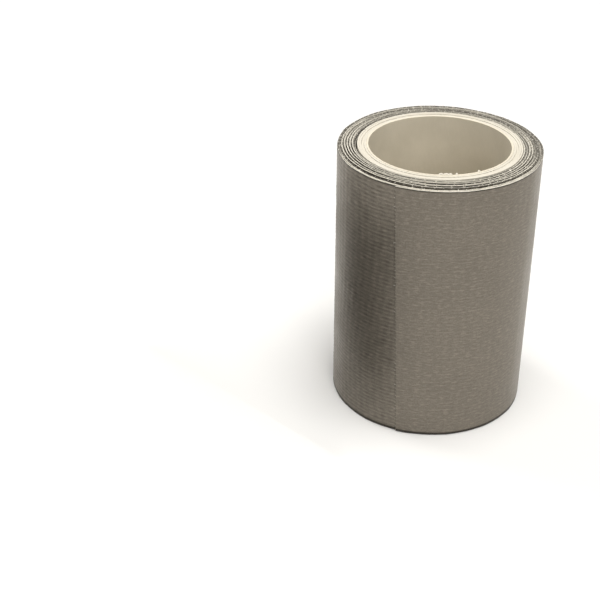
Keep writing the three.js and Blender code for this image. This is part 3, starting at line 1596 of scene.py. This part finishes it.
@dataclass
class InnerTurns:
    """All the turns under the outermost one, and the yarn ends that show at their edges.

    Attributes:
        web: The web that they are a stretch of.
        film: The film's material.
        adhesive: The adhesive's material.
        yarn: The scrim's material.
        column_step: Distance between columns of vertices.
        outer_span: How far round from the cut end the scrim and adhesive belong to the outer turn.
        tuft_radius: Radius of a yarn end.
        tuft_root: How deep inside the edge a yarn end starts.
        tuft_lift: Height of the yarn ends over the web's inner face.
        top_reach: The least and the most that one stands out of an upper edge, in millimetres.
        foot_reach: The least and the most that one stands out of a lower edge, in millimetres.
    """

    web: TapeWeb
    film: bpy.types.Material
    adhesive: bpy.types.Material
    yarn: bpy.types.Material
    column_step: float = 0.36 * MM
    outer_span: float = OuterWrap.under_span
    tuft_radius: float = 0.065 * MM
    tuft_root: float = 0.1 * MM
    tuft_lift: float = 0.125 * MM
    top_reach: tuple[float, float] = (0.02, 0.13)
    foot_reach: tuple[float, float] = (0.02, 0.04)

    def build(self) -> list[bpy.types.Object]:
        """Makes the three layers and the yarn ends.

        Returns:
            The pieces.
        """
        winding = self.web.winding
        start = winding.start_azimuth
        bare = winding.cut_azimuth + self.outer_span
        made = []
        for name, layer, low, material, slot, node in (
            ("inner_turns_film", FILM, bare + TAU, self.film, Slot.FILM, "wound_backing_film"),
            ("inner_turns_scrim", SCRIM, bare, self.yarn, Slot.SCRIM, "wound_scrim_cloth"),
            ("inner_turns_adhesive", ADHESIVE, bare, self.adhesive, Slot.ADHESIVE, "wound_adhesive"),
        ):
            piece = self.web.stretch(name, layer, low, start, self.column_step, 0.0)
            smooth(settle(piece, material, (node,)))
            made.append(piece)
        made.append(settle(self.tufts(), self.yarn))
        for piece in made:
            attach(piece, Body.ROLL.value)
        return made

    def tufts(self) -> bpy.types.Object:
        """Makes the cut ends of the weft yarns, which stand out of both edges of the tape.

        Returns:
            All the yarn ends as one piece.
        """
        winding = self.web.winding
        draw = np.random.default_rng(61)
        first = winding.along(winding.start_azimuth) + MM
        last = winding.along(winding.root_azimuth + 0.05)
        along = np.arange(first, last, self.web.weave.weft_pitch)
        along = along + draw.uniform(-0.3, 0.3, len(along)) * self.web.weave.weft_pitch
        azimuth = winding.azimuth_at(along)
        edges = [self.edge_tufts(draw, azimuth, upper) for upper in (False, True)]
        places, bases = (np.concatenate(parts) for parts in zip(*edges))
        piece = merge_copies("weft_yarn_ends", self.tuft_template(), places, bases)
        add_share(piece, PALE_EDGE_AND_SHADE, np.ones(len(piece.data.vertices)))
        return piece

    def edge_tufts(
        self, draw: np.random.Generator, azimuth: Array, upper: bool
    ) -> tuple[Array, Array]:
        """Places the yarn ends of one edge.

        Args:
            draw: Where the random numbers come from.
            azimuth: Azimuth of each yarn.
            upper: Whether it is the upper edge.

        Returns:
            Each yarn end's root, and the vectors that its X, Y and Z become.
        """
        count = len(azimuth)
        sign = 1.0 if upper else -1.0
        across = np.full(count, self.web.winding.width if upper else 0.0)
        level = self.web.height(azimuth, across, SCRIM)
        least, most = self.top_reach if upper else self.foot_reach
        reach = draw.uniform(least, most, count) * MM
        if not upper:
            reach = np.minimum(reach, level)
        root = self.web.place(azimuth, level - sign * self.tuft_root, self.tuft_lift)
        lean = draw.normal(0.0, 0.35, (count, 2))
        spoke = np.stack([np.cos(azimuth), np.sin(azimuth), 0 * azimuth], axis=1)
        tangent = np.stack([-np.sin(azimuth), np.cos(azimuth), 0 * azimuth], axis=1)
        rise = np.tile((0.0, 0.0, sign), (count, 1))
        axis = rise + lean[:, :1] * spoke * 0.4 + lean[:, 1:] * tangent
        axis *= (reach + self.tuft_root)[:, None]
        radius = self.tuft_radius * draw.uniform(0.6, 1.6, count)[:, None]
        return root, np.stack([spoke * radius * sign, tangent * radius * 1.3, axis], axis=1)

    @staticmethod
    def tuft_template() -> bpy.types.Object:
        """Makes one yarn end: a short stub of unit radius and length with a drawn-in tip.

        Returns:
            The stub, which stands on the origin.
        """
        clear_selection()
        bpy.ops.mesh.primitive_cylinder_add(vertices=6, radius=1.0, depth=1.0, location=(0, 0, 0.5))
        stub = named_active("yarn_end")
        bpy.ops.object.transform_apply(location=True, rotation=True, scale=True)
        bpy.ops.object.mode_set(mode="EDIT")
        bpy.ops.mesh.select_all(action="DESELECT")
        bpy.ops.object.mode_set(mode="OBJECT")
        for face in stub.data.polygons:
            face.select = face.normal.z > 0.9
        bpy.ops.object.mode_set(mode="EDIT")
        bpy.ops.mesh.inset(thickness=0.45, depth=0.18)
        bpy.ops.object.mode_set(mode="OBJECT")
        return stub


# ---------------------------------------------------------------------------------------------
# Studio
# ---------------------------------------------------------------------------------------------


@dataclass(frozen=True)
class Softbox:
    """One square soft light, aimed at the middle of the roll.

    Attributes:
        name: Its name.
        where: Where it hangs.
        side: Length of its side.
        watts: Its power.
        tint: Its colour.
        aim: The point that it faces.
    """

    name: str
    where: tuple[float, float, float]
    side: float
    watts: float
    tint: Color = (1.0, 0.98, 0.94)
    aim: tuple[float, float, float] = (0.0, 0.0, 0.025)

    def light(self) -> None:
        """Adds the light."""
        clear_selection()
        bpy.ops.object.light_add(type="AREA", location=self.where)
        lamp = bpy.context.object
        lamp.name = self.name
        lamp.data.shape = "SQUARE"
        lamp.data.size = self.side
        lamp.data.energy = self.watts
        lamp.data.color = self.tint
        facing = Vector(self.aim) - Vector(self.where)
        lamp.rotation_mode = "QUATERNION"
        lamp.rotation_quaternion = facing.to_track_quat("-Z", "Y")


@dataclass
class Studio:
    """A pale floor, soft light from all round, three soft lights, a shading card and the camera.

    Attributes:
        softboxes: The soft lights.
        sky: Strength of the light from all round.
        sky_tint: Its colour.
        floor_side: Length of the floor's side.
        stand_off: How far in front of the roll's axis the camera stands.
        camera_height: How high it stands.
        turn: How far it is turned to the left.
        dip: How far it looks down.
        lens: Its focal length in millimetres.
        sensor: The width of its sensor in millimetres.
        near: The nearest that it sees.
        card_size: Width and height of the card.
        card_place: Where the card stands.
        card_turn: How far it is turned.
    """

    softboxes: tuple[Softbox, ...] = (
        Softbox("top_softbox", (0.10, -0.10, 1.20), 0.60, 12.5),
        Softbox("front_softbox", (0.35, -1.00, 0.60), 0.45, 3.0),
        Softbox("rear_softbox", (-0.75, 0.45, 0.80), 0.40, 3.0),
    )
    sky: float = 0.36
    sky_tint: Color = (1.0, 0.985, 0.955)
    floor_side: float = 4.0
    stand_off: float = 203.45 * MM
    camera_height: float = 140.5 * MM
    turn: float = math.radians(-7.02)
    dip: float = math.radians(31.17)
    lens: float = 73.92
    sensor: float = 36.0
    near: float = 0.01
    card_size: tuple[float, float] = (0.054, 0.038)
    card_place: tuple[float, float] = (-0.0362, -0.0109)
    card_turn: float = math.radians(53.4)

    def build(self) -> None:
        """Sets up the floor, the lights, the card and the camera."""
        self.floor()
        self.world()
        for softbox in self.softboxes:
            softbox.light()
        self.card()
        self.camera()
        bpy.context.scene.view_settings.view_transform = "Standard"

    def floor(self) -> None:
        """Adds the floor."""
        clear_selection()
        bpy.ops.mesh.primitive_plane_add(size=self.floor_side)
        plane = named_active("studio_floor")
        plane.data.materials.append(FloorFinish().make())

    def world(self) -> None:
        """Adds even light from the whole sky."""
        world = bpy.data.worlds.new("soft_sky")
        world.use_nodes = True
        background = world.node_tree.nodes["Background"]
        background.inputs["Color"].default_value = (*self.sky_tint, 1.0)
        background.inputs["Strength"].default_value = self.sky
        bpy.context.scene.world = world

    def card(self) -> None:
        """Stands a dark card beside the roll, hidden from the camera, to shade its left side."""
        clear_selection()
        width, height = self.card_size
        bpy.ops.mesh.primitive_plane_add(
            size=1.0, location=(*self.card_place, height / 2), rotation=(0.0, math.pi / 2, self.card_turn)
        )
        card = named_active("shading_card")
        bpy.ops.transform.resize(value=(height, width, 1.0), orient_type="LOCAL")
        card.data.materials.append(FeltFinish().make())
        card.visible_camera = False
        card.visible_shadow = False

    def camera(self) -> None:
        """Adds the camera, which looks down on the roll from the front and a little past it."""
        clear_selection()
        bpy.ops.object.camera_add(location=(0.0, -self.stand_off, self.camera_height))
        camera = bpy.context.object
        camera.name = "product_camera"
        level = math.cos(self.dip)
        look = Vector((math.sin(self.turn) * level, math.cos(self.turn) * level, -math.sin(self.dip)))
        camera.rotation_mode = "QUATERNION"
        camera.rotation_quaternion = look.to_track_quat("-Z", "Y")
        camera.data.lens = self.lens
        camera.data.sensor_width = self.sensor
        camera.data.clip_start = self.near
        bpy.context.scene.camera = camera


def report(group: str, pieces: list[bpy.types.Object]) -> None:
    """Logs each piece of a sub-assembly with its count of faces."""
    for piece in pieces:
        LOG.info("%s: %s, %d faces", group, piece.name, len(piece.data.polygons))


def main() -> None:
    """Builds the studio and every sub-assembly."""
    logging.basicConfig(level=logging.INFO, format="%(name)s %(message)s")
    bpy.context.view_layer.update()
    Studio().build()
    wrap_low, wrap_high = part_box("core_outer_wrap")
    winding = Winding(core_radius=wrap_high.x, width=wrap_high.z - wrap_low.z)
    web = TapeWeb(winding)
    film = FilmFinish().make()
    adhesive = AdhesiveFinish().make()
    yarn = YarnFinish().make()
    report("core", PaperCore().build())
    report("inner turns", InnerTurns(web, film, adhesive, yarn).build())
    report("outer wrap", OuterWrap(web, film, adhesive, yarn).build())


if __name__ == "__main__":
    main()
